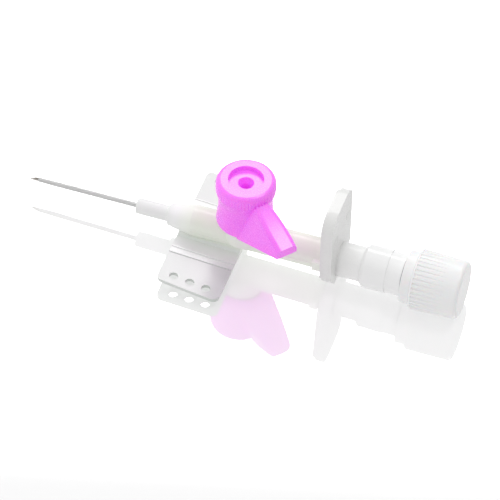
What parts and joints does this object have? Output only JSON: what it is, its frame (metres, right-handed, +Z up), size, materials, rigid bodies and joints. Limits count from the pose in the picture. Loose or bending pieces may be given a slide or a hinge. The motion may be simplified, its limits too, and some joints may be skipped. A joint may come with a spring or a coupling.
{
  "type": "iv cannula",
  "caption": "Winged intravenous cannula with a top injection port and pink cap, its bevelled steel needle, thumb grip, flash chamber and ribbed stopper in place.",
  "frame": {"origin": "On the table, under the middle of the whole length; the needle's axis runs above it.", "axes": "+X along the needle towards the stopper (the needle points to -X), +Z up through the port, +Y to the far wing."},
  "size_m": [0.0984, 0.0358, 0.0234],
  "materials": {
    "catheter_film": "clear, smooth",
    "needle_steel": "drawn, satin",
    "hub_plastic": "translucent, fine satin",
    "valve_silicone": "soft, translucent",
    "cap_pink": "opaque, satin",
    "grip_plastic": "milky, translucent",
    "clear_plastic": "clear, polished",
    "filter_white": "porous",
    "stopper_white": "opaque white, satin"
  },
  "bodies": {
    "catheter": {"catheter_tube": "catheter_film", "ferrule": "needle_steel", "catheter_hub": "hub_plastic", "port_valve": "valve_silicone"},
    "needle_unit": {"needle": "needle_steel", "needle_hub": "grip_plastic", "vent_fitting": "clear_plastic", "filter_disc": "filter_white"},
    "stopper_unit": {"stopper": "stopper_white"},
    "cap_unit": {"port_cap": "cap_pink"}
  },
  "joints": [
    {"name": "needle_withdraw", "type": "slide", "parent": "catheter", "child": "needle_unit", "axis": [1, 0, 0], "range_m": [0, 0.075]},
    {"name": "stopper_release", "type": "slide", "parent": "needle_unit", "child": "stopper_unit", "axis": [1, 0, 0], "range_m": [0, 0.015]},
    {"name": "cap_lift", "type": "slide", "parent": "catheter", "child": "cap_unit", "axis": [0, 0, 1], "range_m": [0, 0.015]}
  ]
}
